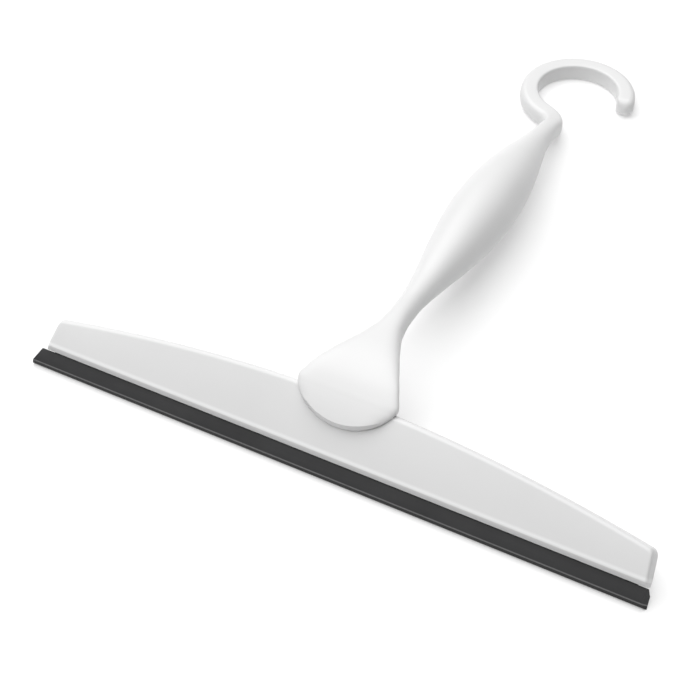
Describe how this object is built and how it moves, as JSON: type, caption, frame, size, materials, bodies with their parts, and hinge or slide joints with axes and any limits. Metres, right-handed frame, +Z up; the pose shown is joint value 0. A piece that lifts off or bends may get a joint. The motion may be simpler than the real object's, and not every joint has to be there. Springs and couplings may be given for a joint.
{
  "type": "window squeegee",
  "caption": "Hand squeegee for windows and shower walls: a long tapered blade holder with a rubber blade, on a waisted handle that bends back and ends in an open hanging hook.",
  "frame": {"origin": "middle of the bounding box's underside, on the table that the lip and the hook rest on", "axes": "+X along the rubber blade, +Y from the blade to the hook along the handle, +Z up from the table, as the squeegee lies with its face up"},
  "size_m": [0.2584, 0.293, 0.0331],
  "materials": {
    "handle": "white moulded plastic, satin",
    "holder": "white moulded plastic, satin",
    "rubber": "black rubber, matt"
  },
  "bodies": {
    "root": {"handle": "handle", "blade_holder": "holder", "rubber_blade": "rubber"}
  },
  "joints": []
}
